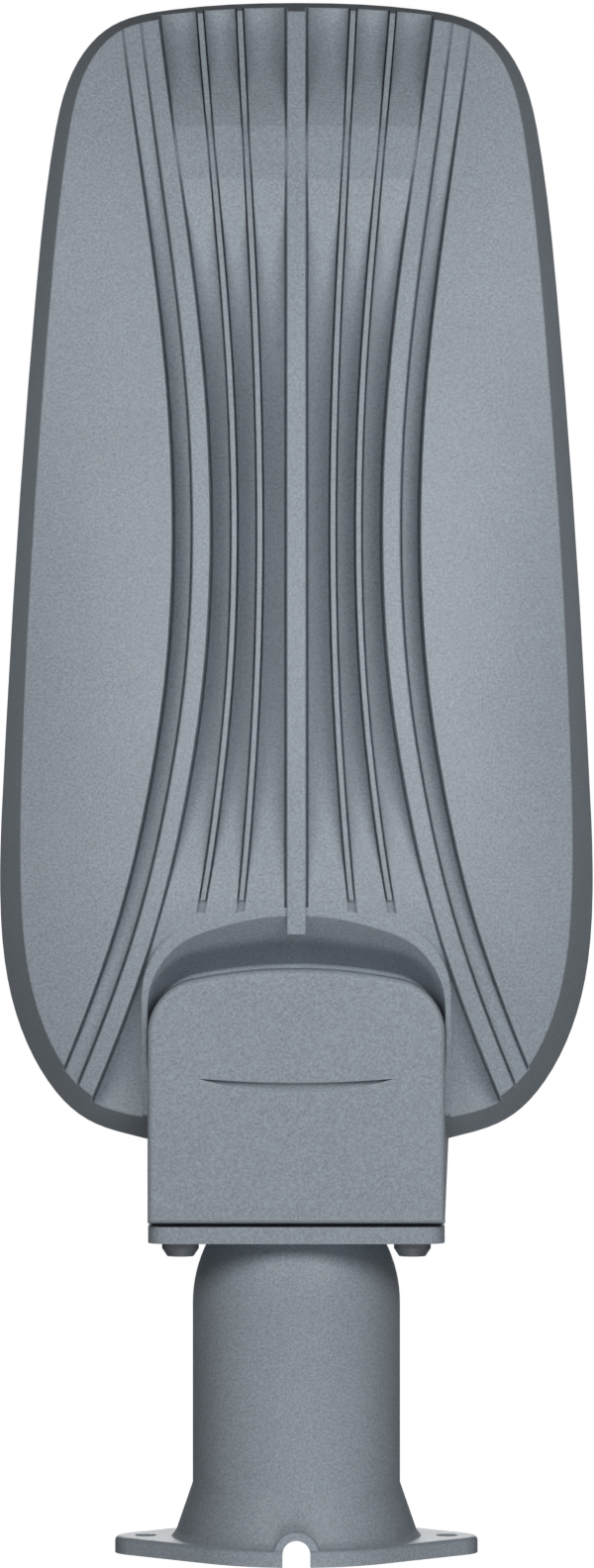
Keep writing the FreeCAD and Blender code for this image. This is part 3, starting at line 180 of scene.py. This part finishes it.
def noiseNode(tree, vector, scale, detail, roughness):
    node = tree.nodes.new("ShaderNodeTexNoise")
    feed(tree, node.inputs["Vector"], vector)
    feed(tree, node.inputs["Scale"], scale)
    feed(tree, node.inputs["Detail"], detail)
    feed(tree, node.inputs["Roughness"], roughness)
    return node.outputs["Fac"]


fineGrain = {
    "detail": 3.0, "roughness": 0.6,
    "cloudScale": 30.0, "cloudDetail": 3.0, "cloudRoughness": 0.55,
}


# Fine pebbled grain and slow clouding: Height goes to the bump, Tone is about 1 and scales the colour
def buildGrain():
    group, given, result = newGroup(
        "fineGrain",
        {"Vector": "Vector", "Scale": "Float", "Contrast": "Float", "Clouding": "Float"},
        {"Height": "Float", "Tone": "Float"})
    vector = given.outputs["Vector"]
    fine = noiseNode(group, vector, given.outputs["Scale"], fineGrain["detail"], fineGrain["roughness"])
    cloud = noiseNode(group, vector, fineGrain["cloudScale"], fineGrain["cloudDetail"],
                      fineGrain["cloudRoughness"])
    grainSwing = mathNode(group, "SUBTRACT", fine, noiseMiddle)
    cloudSwing = mathNode(group, "SUBTRACT", cloud, noiseMiddle)
    speckle = mathNode(group, "MULTIPLY", grainSwing, given.outputs["Contrast"])
    drift = mathNode(group, "MULTIPLY", cloudSwing, given.outputs["Clouding"])
    tone = mathNode(group, "ADD", mathNode(group, "ADD", speckle, drift), 1.0)
    group.links.new(fine, result.inputs["Height"])
    group.links.new(tone, result.inputs["Tone"])
    return group


brushedStrokes = {"detail": 4.0, "roughness": 0.65}


# Long fine strokes: the place is squeezed along the stroke before the noise is read
def buildBrushed():
    group, given, result = newGroup(
        "brushedStrokes", {"Vector": "Vector", "Squeeze": "Vector", "Scale": "Float"}, {"Height": "Float"})
    squeezed = group.nodes.new("ShaderNodeVectorMath")
    squeezed.operation = "MULTIPLY"
    group.links.new(given.outputs["Vector"], squeezed.inputs[0])
    group.links.new(given.outputs["Squeeze"], squeezed.inputs[1])
    strokes = noiseNode(group, squeezed.outputs[0], given.outputs["Scale"], brushedStrokes["detail"],
                        brushedStrokes["roughness"])
    group.links.new(strokes, result.inputs["Height"])
    return group


# Settings for the painted edge highlight and the softened normal under it
paintedEdgeHighlight = {
    "samples": 6,
    "gain": 6.0,                    # how fast the mask rises as the two normals part
}


# Where a softened normal leaves the true one: Mask is 1 on edges and 0 on open faces, and lightens the
# colour there as a painted highlight
def buildPaintedEdgeHighlight():
    group, given, result = newGroup("paintedEdgeHighlight", {"Radius": "Float"}, {"Mask": "Float", "Normal": "Vector"})
    bevel = group.nodes.new("ShaderNodeBevel")
    bevel.samples = paintedEdgeHighlight["samples"]
    group.links.new(given.outputs["Radius"], bevel.inputs["Radius"])
    surface = group.nodes.new("ShaderNodeNewGeometry")
    likeness = group.nodes.new("ShaderNodeVectorMath")
    likeness.operation = "DOT_PRODUCT"
    group.links.new(bevel.outputs["Normal"], likeness.inputs[0])
    group.links.new(surface.outputs["Normal"], likeness.inputs[1])
    away = mathNode(group, "SUBTRACT", 1.0, likeness.outputs["Value"])
    mask = mathNode(group, "MINIMUM", mathNode(group, "MULTIPLY", away, paintedEdgeHighlight["gain"]), 1.0)
    group.links.new(mask, result.inputs["Mask"])
    group.links.new(bevel.outputs["Normal"], result.inputs["Normal"])
    return group


boardTracks = {
    "lineWidth": 0.0007,
    "lineSoftness": 0.3,
    "lengthToWidth": 1.6,           # of a copper area
}


# Edges of the copper areas that show through the white mask, like wide bricks: 1 on an edge, 0 between
def buildTracks():
    group, given, result = newGroup(
        "boardTracks", {"Vector": "Vector", "Pitch": "Float"}, {"Mask": "Float"})
    pitch = given.outputs["Pitch"]
    brickWidth = mathNode(group, "MULTIPLY", pitch, boardTracks["lengthToWidth"])
    bricks = group.nodes.new("ShaderNodeTexBrick")
    feed(group, bricks.inputs["Vector"], given.outputs["Vector"])
    feed(group, bricks.inputs["Scale"], 1.0)
    feed(group, bricks.inputs["Mortar Size"], boardTracks["lineWidth"])
    feed(group, bricks.inputs["Mortar Smooth"], boardTracks["lineSoftness"])
    feed(group, bricks.inputs["Row Height"], pitch)
    feed(group, bricks.inputs["Brick Width"], brickWidth)
    group.links.new(bricks.outputs["Fac"], result.inputs["Mask"])
    return group


grainGroup = buildGrain()
brushedGroup = buildBrushed()
edgeHighlightGroup = buildPaintedEdgeHighlight()
tracksGroup = buildTracks()
print("shared effects ready")


# A colour given from 0 to 255, as a paint program writes it, as the shader's linear values
def linear(*picked):
    return Color([channel / 255 for channel in picked]).from_srgb_to_scene_linear()


def useGroup(tree, group, values):
    node = tree.nodes.new("ShaderNodeGroup")
    node.node_tree = group
    for label, value in values.items():
        feed(tree, node.inputs[label], value)
    return node.outputs


# Bump from the height, on the softened normal where the finish has rounded edges with a painted highlight
def addRelief(tree, shader, values, height, softNormal):
    relief = tree.nodes.new("ShaderNodeBump")
    relief.inputs["Strength"].default_value = values["bump"]
    relief.inputs["Distance"].default_value = values["height"]
    tree.links.new(height, relief.inputs["Height"])
    if softNormal is not None:
        tree.links.new(softNormal, relief.inputs["Normal"])
    tree.links.new(relief.outputs["Normal"], shader.inputs["Normal"])


# One finish: grain on its colour, roughness and bump, and where asked strokes, edges with a painted
# highlight, or tracks
def finish(name, values):
    paint = bpy.data.materials.new(name)
    paint.use_nodes = True
    tree = paint.node_tree
    shader = tree.nodes["Principled BSDF"]
    for label, value in values.get("shader", {}).items():
        shader.inputs[label].default_value = value
    spot = tree.nodes.new("ShaderNodeTexCoord").outputs["Object"]
    grain = useGroup(tree, grainGroup, {
        "Vector": spot, "Scale": values["grain"],
        "Contrast": values["contrast"], "Clouding": values["clouding"]})
    tone = grain["Tone"]
    height = grain["Height"]
    softNormal = None
    if "strokes" in values:
        strokes = useGroup(tree, brushedGroup, {
            "Vector": spot, "Squeeze": values["strokes"], "Scale": values["grain"]})
        height = strokes["Height"]
        darkest = mathNode(tree, "SUBTRACT", tone, values["contrast"] * noiseMiddle)
        tone = mathNode(tree, "MULTIPLY_ADD", height, values["contrast"], darkest)
    if "edgeBevelRadius" in values:
        edges = useGroup(tree, edgeHighlightGroup, {"Radius": values["edgeBevelRadius"]})
        softNormal = edges["Normal"]
        # Painted highlight: the colour is made lighter along edges
        tone = mathNode(tree, "MULTIPLY_ADD", edges["Mask"], values["paintedHighlightLighter"], tone)
    if "trackPitch" in values:
        tracks = useGroup(tree, tracksGroup, {"Vector": spot, "Pitch": values["trackPitch"]})
        tone = mathNode(tree, "MULTIPLY_ADD", tracks["Mask"], -values["trackDarker"], tone)
    if "bump" in values:                # glass is smooth and has none
        addRelief(tree, shader, values, height, softNormal)
    tinted = tree.nodes.new("ShaderNodeVectorMath")
    tinted.operation = "SCALE"
    tinted.inputs[0].default_value = values["colour"]
    tree.links.new(tone, tinted.inputs["Scale"])
    tree.links.new(tinted.outputs[0], shader.inputs["Base Color"])
    spread = mathNode(tree, "MULTIPLY_ADD", height, values["roughSpread"], values["rough"])
    tree.links.new(spread, shader.inputs["Roughness"])
    return paint


# Each finish gives its colour, its roughness and how far that spreads, the grain's scale and contrast, the
# clouding, the bump's strength and height, and what the shader takes as it is. Strokes are given as shares
# of X, Y and Z, and run along the one with the small share

finishes = {}

powderCoat = {
    "colour": linear(150, 159, 168),
    "rough": 0.40, "roughSpread": 0.12,
    "grain": 1300.0, "contrast": 1.25, "clouding": 0.16,
    "bump": 0.7, "height": 0.00006,
    # the bevel radius, and how much lighter a painted highlight makes the colour along edges
    "edgeBevelRadius": 0.0010, "paintedHighlightLighter": 0.28,
}
finishes["powder_coat"] = finish("powder_coat", powderCoat)

coatedSteel = {
    "colour": linear(96, 102, 109),
    "rough": 0.34, "roughSpread": 0.14,
    "grain": 1800.0, "contrast": 0.5, "clouding": 0.1,
    "bump": 0.3, "height": 0.00003,
    # the bevel radius, and how much lighter a painted highlight makes the colour along edges
    "edgeBevelRadius": 0.0004, "paintedHighlightLighter": 0.25,
}
finishes["coated_steel"] = finish("coated_steel", coatedSteel)

stainless = {
    "colour": linear(178, 180, 182),
    "rough": 0.20, "roughSpread": 0.18,
    "grain": 2600.0, "contrast": 0.12, "clouding": 0.08,
    "strokes": (0.08, 1.0, 1.0),
    "bump": 0.25, "height": 0.00002,
    "shader": {"Metallic": 1.0},
}
finishes["stainless"] = finish("stainless", stainless)

platedBrass = {
    "colour": linear(200, 186, 138),
    "rough": 0.24, "roughSpread": 0.16,
    "grain": 2400.0, "contrast": 0.10, "clouding": 0.12,
    "bump": 0.2, "height": 0.00002,
    "shader": {"Metallic": 1.0},
}
finishes["plated_brass"] = finish("plated_brass", platedBrass)

driverCase = {
    "colour": linear(196, 199, 202),
    "rough": 0.30, "roughSpread": 0.2,
    "grain": 1600.0, "contrast": 0.16, "clouding": 0.06,
    "strokes": (0.03, 1.0, 1.0),
    "bump": 0.3, "height": 0.00002,
    "shader": {"Metallic": 0.9},
}
finishes["driver_case"] = finish("driver_case", driverCase)

sealRubber = {
    "colour": linear(62, 63, 66),
    "rough": 0.58, "roughSpread": 0.16,
    "grain": 1500.0, "contrast": 0.35, "clouding": 0.2,
    "bump": 0.5, "height": 0.00004,
}
finishes["seal_rubber"] = finish("seal_rubber", sealRubber)

blackNylon = {
    "colour": linear(40, 41, 43),
    "rough": 0.40, "roughSpread": 0.14,
    "grain": 1700.0, "contrast": 0.3, "clouding": 0.1,
    "bump": 0.4, "height": 0.00003,
    # the bevel radius, and how much lighter a painted highlight makes the colour along edges
    "edgeBevelRadius": 0.0005, "paintedHighlightLighter": 0.5,
}
finishes["black_nylon"] = finish("black_nylon", blackNylon)

terminalNylon = {
    "colour": linear(206, 207, 200),
    "rough": 0.42, "roughSpread": 0.12,
    "grain": 1500.0, "contrast": 0.10, "clouding": 0.06,
    "bump": 0.3, "height": 0.00003,
    "shader": {"Subsurface Weight": 0.06},
}
finishes["terminal_nylon"] = finish("terminal_nylon", terminalNylon)

gearPlastic = {
    "colour": linear(212, 212, 206),
    "rough": 0.34, "roughSpread": 0.12,
    "grain": 1300.0, "contrast": 0.08, "clouding": 0.05,
    "bump": 0.3, "height": 0.00003,
}
finishes["gear_plastic"] = finish("gear_plastic", gearPlastic)

leadJacket = {
    "colour": linear(178, 178, 174),
    "rough": 0.36, "roughSpread": 0.12,
    "grain": 1200.0, "contrast": 0.10, "clouding": 0.1,
    "bump": 0.2, "height": 0.00002,
}
finishes["lead_jacket"] = finish("lead_jacket", leadJacket)

thermalSilicone = {
    "colour": linear(124, 130, 138),
    "rough": 0.66, "roughSpread": 0.12,
    "grain": 900.0, "contrast": 0.2, "clouding": 0.12,
    "bump": 0.4, "height": 0.00004,
}
finishes["thermal_silicone"] = finish("thermal_silicone", thermalSilicone)

boardWhite = {
    "colour": linear(236, 237, 234),
    "rough": 0.30, "roughSpread": 0.10,
    "grain": 1800.0, "contrast": 0.05, "clouding": 0.03,
    "trackPitch": 0.0210, "trackDarker": 0.10,
    "bump": 0.2, "height": 0.00002,
}
finishes["board_white"] = finish("board_white", boardWhite)

ledPhosphor = {
    "colour": linear(240, 206, 78),
    "rough": 0.42, "roughSpread": 0.16,
    "grain": 4200.0, "contrast": 0.30, "clouding": 0.05,
    "bump": 0.4, "height": 0.00003,
}
finishes["led_phosphor"] = finish("led_phosphor", ledPhosphor)

lensClear = {
    "colour": linear(251, 252, 252),
    "rough": 0.02, "roughSpread": 0.04,
    "grain": 600.0, "contrast": 0.01, "clouding": 0.01,
    "shader": {"Transmission Weight": 1.0, "IOR": 1.49},
}
finishes["lens_clear"] = finish("lens_clear", lensClear)

windowGlass = {
    "colour": linear(250, 253, 252),
    "rough": 0.005, "roughSpread": 0.03,
    "grain": 240.0, "contrast": 0.01, "clouding": 0.02,
    "shader": {"Transmission Weight": 1.0, "IOR": 1.45},
}
finishes["window_glass"] = finish("window_glass", windowGlass)
print("finishes mixed:", len(finishes))

for entry in frame["record"]["subparts"]:
    for slot in nodes[entry["node"]].material_slots:
        slot.material = finishes[entry["material_slot"]]
print("finishes laid on", len(nodes), "parts")
